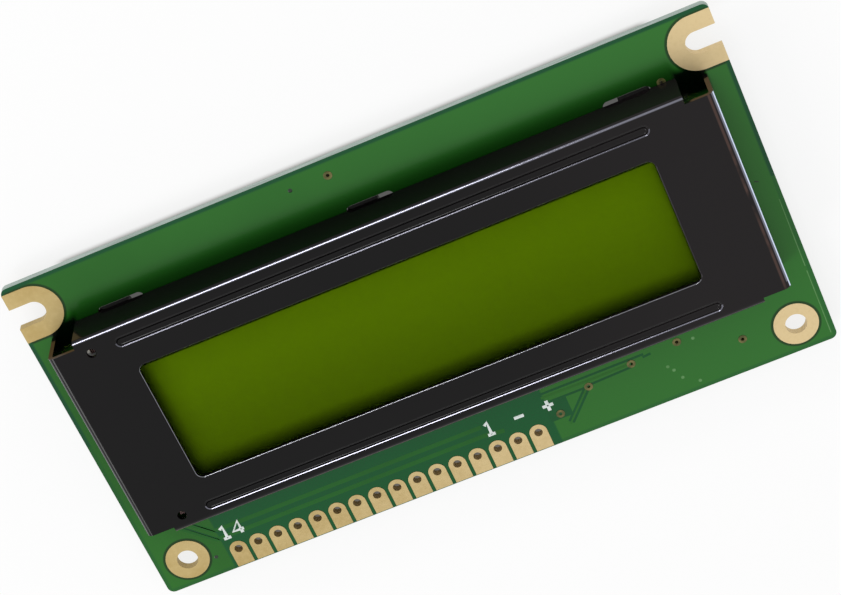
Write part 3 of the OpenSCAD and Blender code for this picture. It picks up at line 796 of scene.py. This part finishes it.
# %% Parts that every node tree has
def new_tree(name, sizes):
    """An empty tree with a shape, some sizes and a material as named inputs."""
    tree = bpy.data.node_groups.new(name, "GeometryNodeTree")
    kinds = {"Geometry": "NodeSocketGeometry"}
    kinds.update({size: "NodeSocketFloat" for size in sizes})
    kinds["Material"] = "NodeSocketMaterial"
    for label, kind in kinds.items():
        tree.interface.new_socket(label, in_out="INPUT", socket_type=kind)
    tree.interface.new_socket("Geometry", in_out="OUTPUT", socket_type="NodeSocketGeometry")
    return tree, add(tree, "NodeGroupInput").outputs


def finish_tree(tree, shape, material):
    """The last steps of every tree: flat real faces and a material."""
    flat = add(tree, "GeometryNodeSetShadeSmooth", {"Geometry": shape, "Shade Smooth": False})
    real = add(tree, "GeometryNodeRealizeInstances", {"Geometry": flat.outputs[0]})
    coloured = add(
        tree, "GeometryNodeSetMaterial", {"Geometry": real.outputs[0], "Material": material}
    )
    add(tree, "NodeGroupOutput", {"Geometry": coloured.outputs[0]})


# %% The node tree for raised lines
PROFILE_SIDES = 8
CORNER_STEPS = 4


def line_profile(tree, width, height):
    """An eight-sided ring as wide as the line. Its top is flat, and its lower half sinks in."""
    ring = add(
        tree, "GeometryNodeCurvePrimitiveCircle", {"Resolution": PROFILE_SIDES, "Radius": 1.0}
    )
    half = add(tree, "ShaderNodeMath", {0: width, 1: 0.5}, operation="MULTIPLY")
    size = add(tree, "ShaderNodeCombineXYZ", {"X": half.outputs[0], "Y": height, "Z": 1.0})
    turned = add(
        tree, "GeometryNodeTransform",
        {"Geometry": ring.outputs[0], "Rotation": (0, 0, math.pi / PROFILE_SIDES)},
    )
    return add(
        tree, "GeometryNodeTransform",
        {"Geometry": turned.outputs[0], "Scale": size.outputs[0]},
    ).outputs[0]


def raised_line_tree():
    tree, given = new_tree("raised_line", ["Width", "Height", "Corner Radius"])
    path = add(tree, "GeometryNodeMeshToCurve", {"Mesh": given["Geometry"]})
    rounded = add(
        tree, "GeometryNodeFilletCurve",
        {
            "Curve": path.outputs[0], "Radius": given["Corner Radius"],
            "Count": CORNER_STEPS, "Limit Radius": True,
        },
        mode="POLY",
    )
    level = add(tree, "GeometryNodeSetCurveNormal", {"Curve": rounded.outputs[0]}, mode="Z_UP")
    profile = line_profile(tree, given["Width"], given["Height"])
    sweep = add(
        tree, "GeometryNodeCurveToMesh",
        {"Curve": level.outputs[0], "Profile Curve": profile, "Fill Caps": True},
    )
    finish_tree(tree, sweep.outputs[0], given["Material"])
    return tree


line_tree = raised_line_tree()
print("inputs of the line tree:", [item.name for item in line_tree.interface.items_tree])

# %% [markdown]
# A path is drawn as loose edges in a mesh. The modifier turns them into
# lines, and the result is kept as a plain mesh, because a finished piece
# has no live modifier when it is handed to the frame. An input is set by its
# identifier, which stays the same when its name is changed.


def in_metres(*paths):
    """Paths given in millimetres, in metres."""
    return [[(px * MM, py * MM) for px, py in path] for path in paths]


def path_mesh(name, paths, height):
    """Loose edges along paths given in metres, all at one height."""
    points = []
    edges = []
    for path in paths:
        start = len(points)
        points += [(px, py, height) for px, py in path]
        edges += [(start + i, start + i + 1) for i in range(len(path) - 1)]
    mesh = bpy.data.meshes.new(name)
    mesh.from_pydata(points, edges, [])
    return mesh


def grow(name, mesh, tree, values):
    """Runs a node tree on a mesh, keeps the plain result and gives it its body."""
    piece = bpy.data.objects.new(name, mesh)
    bpy.context.scene.collection.objects.link(piece)
    modifier = piece.modifiers.new("grow", "NODES")
    modifier.node_group = tree
    for item in tree.interface.items_tree:
        if item.in_out == "INPUT" and item.name in values:
            modifier[item.identifier] = values[item.name]
    graph = bpy.context.evaluated_depsgraph_get()
    done = bpy.data.meshes.new_from_object(piece.evaluated_get(graph), depsgraph=graph)
    piece.modifiers.remove(modifier)
    piece.data = done
    done.name = name
    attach(piece, "root")
    print(name, "faces:", len(done.polygons))


def lines(name, paths, height, material, wid_mm, rise_mm, corner_mm=0.4):
    """Raised lines along paths in metres."""
    values = {
        "Width": wid_mm * MM,
        "Height": rise_mm * MM,
        "Corner Radius": corner_mm * MM,
        "Material": material,
    }
    grow(name, path_mesh(name, paths, height), line_tree, values)


# %% [markdown]
# ## Tracks on the front
# Beside the pads two tracks show through the lacquer as lighter bands. At
# the right a few more run in a wide copper area, each in its own gap, where
# the lacquer sinks and looks deeper. So a track there is drawn twice: a wide
# thin line for its gap, and on it a narrower one for the copper. Each layer
# stands a few thousandths of a millimetre higher than the one below it.

# %% Lacquer over tracks and gaps
TRACK = rgb(30, 98, 34)
TRACK_DEEP = rgb(27, 93, 31)


def lacquer_material(name, tone, other):
    """The board's lacquer in another tone."""
    material, tree, shader = new_material(name, Specular_IOR_Level=LACQUER_GLOSS)
    feed(tree, shader, Base_Color=blend(tree, patches(tree, 200, 2), tone, other))
    feed(tree, shader, Roughness=wavering(tree, LACQUER_WAVES, LACQUER_ROUGH, LACQUER_SPREAD))
    feed(tree, shader, Normal=lacquer_relief(tree))
    return material


track_finish = lacquer_material("lacquer_on_track", TRACK, TRACK_DEEP)
area_finish = lacquer_material("lacquer_on_area", MASK, MASK_DEEP)
gap_finish = lacquer_material("lacquer_in_gap", MASK_BARE, MASK_BARE_DEEP)

# %% Gaps in the copper
gaps = in_metres(
    [(-36.9, -14.2), (-33.4, -17.7)],
    [(-35.7, -14.2), (-33.2, -16.7)],
    [(8.0, -16.35), (13.4, -16.35)],
    [(13.4, -16.2), (19.1, -16.0)],
    [(8.0, -15.05), (20.8, -15.0)],
    [(20.6, -15.35), (21.6, -15.25)],
)
wide_gap = in_metres([(13.2, -16.6), (10.1, -19.9)])
bare_patch = in_metres([(8.0, -17.75), (10.7, -17.75)])
lines("track_gaps", gaps, board_high.z, gap_finish, wid_mm=0.32, rise_mm=0.006)
lines("area_gap", wide_gap, board_high.z, gap_finish, wid_mm=0.85, rise_mm=0.007)
lines("bare_patch", bare_patch, board_high.z, gap_finish, wid_mm=2.7, rise_mm=0.005)

# %% Tracks beside the pads and in the copper area
pad_tracks = in_metres(
    [(-35.9, -14.2), (-33.6, -16.25), (0.3, -16.25)],
    [(-37.1, -14.2), (-33.8, -17.45), (0.2, -17.45), (2.6, -17.75)],
)
area_tracks = in_metres(
    [(8.0, -15.55), (14, -15.6), (19.1, -15.55)],
    [(13.4, -16.3), (12.9, -16.9), (9.9, -20.1)],
)
lines("pad_tracks", pad_tracks, board_high.z, track_finish, wid_mm=0.6, rise_mm=0.006)
lines("area_tracks", area_tracks, board_high.z, area_finish, wid_mm=0.34, rise_mm=0.01)

# %% [markdown]
# ## Tracks on the back
# On the back each resin cover hides a bare chip. Its tracks fan out to two
# rows of small holes, which lead to the display's fingers on the front. The
# pads feed the left chip, a bus joins the two, and two broad tracks carry
# the backlight's current. A fan is a rule: the holes are evenly spaced on a
# line, their tracks' ends evenly spaced on an arc.

# %% Rows of holes and fans
COVER_R = (controller_high.x - controller_low.x) / 2
ROW_OFFSET = 10.2 * MM
ROW_PITCH = 1.4 * MM
ROW_COUNT = 18
HOLE_LEAD = 0.5 * MM
FAN_HALF_DEG = 64
FAN_RADII = (COVER_R + 0.3 * MM, COVER_R - 1.0 * MM)
BACK_RISE_MM = 0.03
BACK_TRACK = rgb(72, 140, 56)
BACK_TRACK_DEEP = rgb(62, 130, 48)
back_finish = lacquer_material("lacquer_on_back_track", BACK_TRACK, BACK_TRACK_DEEP)


def centre_of(low, high):
    """The middle of a box, seen from above."""
    return (low.x + high.x) / 2, (low.y + high.y) / 2


def row_places(centre, side):
    """Places of the holes above (1) or below (-1) one cover."""
    first = centre[0] - (ROW_COUNT - 1) / 2 * ROW_PITCH
    return [(first + i * ROW_PITCH, centre[1] + side * ROW_OFFSET) for i in range(ROW_COUNT)]


def fan(centre, side):
    """Tracks from a row of holes to the cover's upper or lower arc."""
    paths = []
    for i, (px, py) in enumerate(row_places(centre, side)):
        angle = math.radians(-FAN_HALF_DEG + 2 * FAN_HALF_DEG * i / (ROW_COUNT - 1))
        rim = [
            (centre[0] + r * math.sin(angle), centre[1] + side * r * math.cos(angle))
            for r in FAN_RADII
        ]
        paths.append([(px, py), (px, py - side * HOLE_LEAD)] + rim)
    return paths


covers = [centre_of(controller_low, controller_high), centre_of(driver_low, driver_high)]
fans = [path for centre in covers for side in (1, -1) for path in fan(centre, side)]
print("fan tracks:", len(fans))

# %% The bus between the covers
BUS_COUNT = 5
BUS_DROP = 1.0 * MM
BUS_STEP = 0.8 * MM
BUS_TUCK = 1.5 * MM


def bus_line(index):
    """One track of the bus, from under one cover to under the other."""
    level = bezel_mid_y - BUS_DROP - index * BUS_STEP
    start = covers[0][0] + COVER_R - BUS_TUCK
    end = covers[1][0] - COVER_R + BUS_TUCK
    return [(start, level), (end, level)]


bus = [bus_line(index) for index in range(BUS_COUNT)]
lines(
    "back_tracks", fans + bus, board_low.z, back_finish,
    wid_mm=0.25, rise_mm=BACK_RISE_MM, corner_mm=0.3,
)

# %% [markdown]
# A feed runs from each signal pad to a hole of the left chip's lower row. The
# first nine go straight up with one slanting stretch. The others first run
# left in lanes of their own, nested so that no two cross and all stay clear
# of the small parts.

# %% Feeds from the pads, in millimetres
FEED_COUNT = PAD_COUNT - 2
DIRECT_COUNT = 9
FEED_TOP = -9.7
FEED_END = FEED_TOP + 0.5
FEED_FOOT = -18.3
SLANT_FOOT = -17.9
LANE_FOOT = -18.0
LANE_STEP = 0.33
FIRST_TURN = -10.6
TURN_STEP = 0.5


def pad_place(index):
    """The X of one pad in millimetres, counted from the left."""
    return (first_pad_x + index * PAD_PITCH) / MM


def direct_feed(pad_x, hole_x):
    """A feed that slants at its foot to a hole at its right, or at its top to one at its left."""
    aside = abs(hole_x - pad_x)
    if hole_x > pad_x:
        slant = [(pad_x, SLANT_FOOT), (hole_x, SLANT_FOOT + aside)]
    else:
        slant = [(pad_x, FEED_TOP - aside), (hole_x, FEED_TOP)]
    return [(pad_x, FEED_FOOT)] + slant + [(hole_x, FEED_END)]


def laned_feed(pad_x, hole_x, lane):
    """A feed that runs left in its lane, turns up and slants to its hole at the top."""
    level = LANE_FOOT + lane * LANE_STEP
    turn = FIRST_TURN + lane * TURN_STEP
    slant_foot = FEED_TOP - abs(hole_x - turn)
    foot = [(pad_x, FEED_FOOT), (pad_x, level), (turn, level), (turn, slant_foot)]
    return foot + [(hole_x, FEED_TOP), (hole_x, FEED_END)]


def pad_feed(index, hole_x):
    """The feed of one pad, counted from the left."""
    if index < DIRECT_COUNT:
        return direct_feed(pad_place(index), hole_x)
    return laned_feed(pad_place(index), hole_x, index - DIRECT_COUNT)


lower_row = row_places(covers[0], -1)
feeds = [pad_feed(index, lower_row[index + 1][0] / MM) for index in range(FEED_COUNT)]
print("feeds, pad x to hole x, mm:", [(round(f[0][0], 1), round(f[-1][0], 1)) for f in feeds])
lines(
    "pad_feeds", in_metres(*feeds), board_low.z, back_finish,
    wid_mm=0.22, rise_mm=BACK_RISE_MM, corner_mm=0.2,
)

# %% The backlight's supply, in millimetres
SUPPLY_FOOT = -18.4
LEAD_OFFSET = 2.5
lead_x, lead_mid_y = [middle / MM for middle in centre_of(leads_low, leads_high)]
minus_x, plus_x = pad_place(PAD_COUNT - 2), pad_place(PAD_COUNT - 1)
supply = in_metres(
    [
        (lead_x, lead_mid_y - LEAD_OFFSET), (lead_x, -13.0), (31.5, -16.8), (8.4, -16.8),
        (plus_x, SUPPLY_FOOT),
    ],
    [
        (lead_x, lead_mid_y + LEAD_OFFSET), (36.6, 2.9), (36.6, -13.4), (32.4, -17.6),
        (4.4, -17.6), (minus_x, SUPPLY_FOOT),
    ],
)
lines(
    "supply_tracks", supply, board_low.z, back_finish,
    wid_mm=0.6, rise_mm=BACK_RISE_MM, corner_mm=0.8,
)

# %% [markdown]
# ## Printed marks
# Plain figures name the first and last pads, and two signs show the
# polarity of the backlight. Each is a few straight strokes of white ink.

# %% Figures and signs, in millimetres
INK = rgb(236, 242, 240)
INK_THIN = rgb(212, 226, 218)
SIGN_GAP = 0.55
# Each sign's width and its strokes, from its lower left corner.
FIGURES = {
    "1": (0.85, [[(0.05, 1.35), (0.45, 1.7), (0.45, 0.0)], [(0.0, 0.0), (0.9, 0.0)]]),
    "4": (1.35, [[(1.0, 0.0), (1.0, 1.7), (0.0, 0.5), (1.35, 0.5)]]),
    "-": (1.2, [[(0.0, 0.85), (1.2, 0.85)]]),
    "+": (1.3, [[(0.0, 0.85), (1.3, 0.85)], [(0.65, 0.15), (0.65, 1.55)]]),
}
# What is printed, and where its lower left corner is.
MARKS = [("14", -33.0, -17.75), ("1", 0.65, -17.6), ("-", 4.2, -17.6), ("+", 7.75, -17.6)]


def ink_material():
    material, tree, shader = new_material("white_ink", Specular_IOR_Level=0.3)
    thin = patches(tree, 1600, 2, none=0.35, full=0.7)
    feed(tree, shader, Base_Color=blend(tree, thin, INK, INK_THIN))
    feed(tree, shader, Roughness=wavering(tree, 900, 0.45, 0.2))
    return material


def strokes(word, left, base):
    """Paths in metres of a short word that starts at a place in millimetres."""
    paths = []
    for sign in word:
        wid, shape = FIGURES[sign]
        paths += in_metres(*[[(left + px, base + py) for px, py in stroke] for stroke in shape])
        left += wid + SIGN_GAP
    return paths


marks = [stroke for mark in MARKS for stroke in strokes(*mark)]
lines(
    "printed_marks", marks, board_high.z, ink_material(),
    wid_mm=0.44, rise_mm=0.035, corner_mm=0.0,
)

# %% [markdown]
# ## Small round spots
# Many small things on the board are round and nearly flat: the lacquer's
# lids over the holes on the back, two closed holes on the front, which look
# dark, and a few pale flecks. One low disc is placed at each spot by
# Geometry Nodes.

# %% The node tree for round spots
SPOT_SIDES = 16
SPOT_TOP = 0.7


def spot_tree():
    tree, given = new_tree("round_spot", ["Radius", "Height"])
    top = add(tree, "ShaderNodeMath", {0: given["Radius"], 1: SPOT_TOP}, operation="MULTIPLY")
    disc = add(
        tree, "GeometryNodeMeshCone",
        {
            "Vertices": SPOT_SIDES, "Radius Top": top.outputs[0],
            "Radius Bottom": given["Radius"], "Depth": given["Height"],
        },
    )
    placed = add(
        tree, "GeometryNodeInstanceOnPoints",
        {"Points": given["Geometry"], "Instance": disc.outputs[0]},
    )
    finish_tree(tree, placed.outputs[0], given["Material"])
    return tree


disc_tree = spot_tree()


def spots(name, places, height, material, radius_mm, rise_mm):
    """Low round discs at places in metres."""
    mesh = bpy.data.meshes.new(name)
    mesh.from_pydata([(px, py, height) for px, py in places], [], [])
    values = {"Radius": radius_mm * MM, "Height": rise_mm * MM, "Material": material}
    grow(name, mesh, disc_tree, values)


# %% Lids and closed holes
LID_RISE_MM = 0.06
# The part of a lid's height that stands out of the board.
LID_SHOWS = 0.9
lids = [place for centre in covers for side in (1, -1) for place in row_places(centre, side)]
lid_level = board_low.z - LID_SHOWS * LID_RISE_MM * MM
closed_holes = in_metres([(-34.9, -19.6), (-7.4, 20.0)])[0]
dark = plain_material("lacquer_in_hole", (8, 34, 10), (12, 40, 14), 0.3, 0.1, 600, 0.004)
pale = plain_material("lacquer_fleck", (92, 144, 84), (76, 130, 66), 0.4, 0.1, 900, 0.004)
spots("back_via_lids", lids, lid_level, back_finish, radius_mm=0.45, rise_mm=LID_RISE_MM)
spots("closed_holes", closed_holes, board_high.z, dark, radius_mm=0.25, rise_mm=0.02)

# %% [markdown]
# ## Marks on the front
# Handling leaves its own small marks on a lacquer: a short dark dash lies
# beside the bezel, and a few flecks lie to the right of the tracks. A long
# pale line also runs close to the right edge. They could be painted by the
# material, but as thin pieces they stay where they are put.

# %% A dark dash, a pale line and pale flecks
dash = in_metres([(39.6, 0.15), (40.1, -0.05)])
pale_line = in_metres([(41.46, -3.0), (41.42, -12.0)], [(41.4, -12.6), (41.38, -21.2)])
flecks = in_metres([(22.8, -17.7), (23.3, -18.4), (23.9, -19.7), (25.6, -20.9), (26.7, -15.4)])[0]
lines("dark_dash", dash, board_high.z, dark, wid_mm=0.12, rise_mm=0.01)
lines("edge_pale_line", pale_line, board_high.z, pale, wid_mm=0.1, rise_mm=0.01)
spots("lacquer_flecks", flecks, board_high.z, pale, radius_mm=0.2, rise_mm=0.008)

# %% [markdown]
# ## Floor and light
# The floor and the world are white where the camera or a reflection sees
# them, and light the module only a little. Under the board the floor is
# painted darker and glows less, a painted shadow, so that the openings look
# deep. One broad lamp stands low at the left and lights the whole. A narrow
# one beyond the slotted edge lights the painted highlights along the bezel's
# bends.

# %% What is seen, and what lies under the board
UNDER_PAST_PADS = 2 * MM
UNDER_SOFT_X = 1 * MM
UNDER_SHIFT_Y = -0.5 * MM
UNDER_SOFT_Y = 0.5 * MM


def seen_directly(tree):
    """1 for what the camera or a reflection sees, also through glass."""
    rays = add(tree, "ShaderNodeLightPath").outputs
    kinds = ("Is Camera Ray", "Is Glossy Ray", "Is Transmission Ray")
    return any_of(tree, *[rays[kind] for kind in kinds])


def under_board(tree):
    """1 on the floor beneath the board, between its mounting holes, where a shadow is painted."""
    x, y = axes(tree)[:2]
    reach_x = -pads_low.x + UNDER_PAST_PADS
    lowest, highest = board_low.y + UNDER_SHIFT_Y, board_high.y + UNDER_SHIFT_Y
    along = inside(tree, x, -reach_x, reach_x, UNDER_SOFT_X)
    return all_of(tree, along, inside(tree, y, lowest, highest, UNDER_SOFT_Y))


# %% Floor
FLOOR = rgb(246, 246, 246)
FLOOR_SHADOW = rgb(120, 108, 84)
FLOOR_GLOW = 0.8
UNDER_GLOW = 0.1
FLOOR_DROP = 0.02 * MM
FLOOR_HALF_SIZE = 3.0


def floor_material():
    material = bpy.data.materials.new("pale_floor")
    material.use_nodes = True
    tree = material.node_tree
    tree.nodes.clear()
    # Painted shadow: beneath the board the floor is darker and glows less.
    under = under_board(tree)
    tone = blend(tree, under, FLOOR, FLOOR_SHADOW)
    matt = add(tree, "ShaderNodeBsdfDiffuse", {"Color": tone})
    glow = add(tree, "ShaderNodeEmission", {"Color": (1, 1, 1, 1), "Strength": 1.0})
    strength = calc(tree, "MULTIPLY_ADD", under, UNDER_GLOW - FLOOR_GLOW, FLOOR_GLOW)
    part = all_of(tree, seen_directly(tree), strength)
    mixed = add(tree, "ShaderNodeMixShader", {0: part, 1: matt.outputs[0], 2: glow.outputs[0]})
    add(tree, "ShaderNodeOutputMaterial", {"Surface": mixed.outputs[0]})
    return material


def add_floor(half_size):
    """A square floor just under the module's lowest point."""
    level = cad_box[0].z - FLOOR_DROP
    corners = [(-1, -1), (1, -1), (1, 1), (-1, 1)]
    points = [(px * half_size, py * half_size, level) for px, py in corners]
    mesh = bpy.data.meshes.new("floor")
    mesh.from_pydata(points, [], [(0, 1, 2, 3)])
    mesh.materials.append(floor_material())
    floor = bpy.data.objects.new("floor", mesh)
    bpy.context.scene.collection.objects.link(floor)
    print("floor at Z, mm:", round(level / MM, 3))


add_floor(FLOOR_HALF_SIZE)

# %% World
WORLD_LEVEL = 0.78


def set_world(level):
    """A plain world: white where it is seen, and of the given level as a light."""
    world = bpy.data.worlds.new("studio")
    world.use_nodes = True
    bpy.context.scene.world = world
    tree = world.node_tree
    strength = calc(tree, "MULTIPLY_ADD", seen_directly(tree), 1.0 - level, level)
    background = tree.nodes["Background"]
    background.inputs["Color"].default_value = (1, 1, 1, 1)
    tree.links.new(strength, background.inputs["Strength"])
    print("world level:", level)


set_world(WORLD_LEVEL)

# %% Lamps
def add_lamp(name, place, size, watts):
    """A rectangular lamp that faces the module; place and size are in metres."""
    data = bpy.data.lights.new(name, "AREA")
    data.shape = "RECTANGLE"
    data.size, data.size_y = size
    data.energy = watts
    lamp = bpy.data.objects.new(name, data)
    lamp.location = place
    lamp.rotation_euler = Vector(place).to_track_quat("Z", "Y").to_euler()
    bpy.context.scene.collection.objects.link(lamp)
    print(name, "radiance:", round(watts / (math.pi * size[0] * size[1]), 2))


add_lamp("broad_lamp", place=(-0.64, -0.26, 0.5), size=(0.3, 0.3), watts=1.8)
add_lamp("bend_lamp", place=(-0.14, 0.53, 0.24), size=(0.2, 0.06), watts=0.7)

# %% [markdown]
# ## The view
# The view keeps its plain settings.

# %% Finish
bpy.context.scene.view_settings.view_transform = "Standard"
bpy.context.view_layer.update()
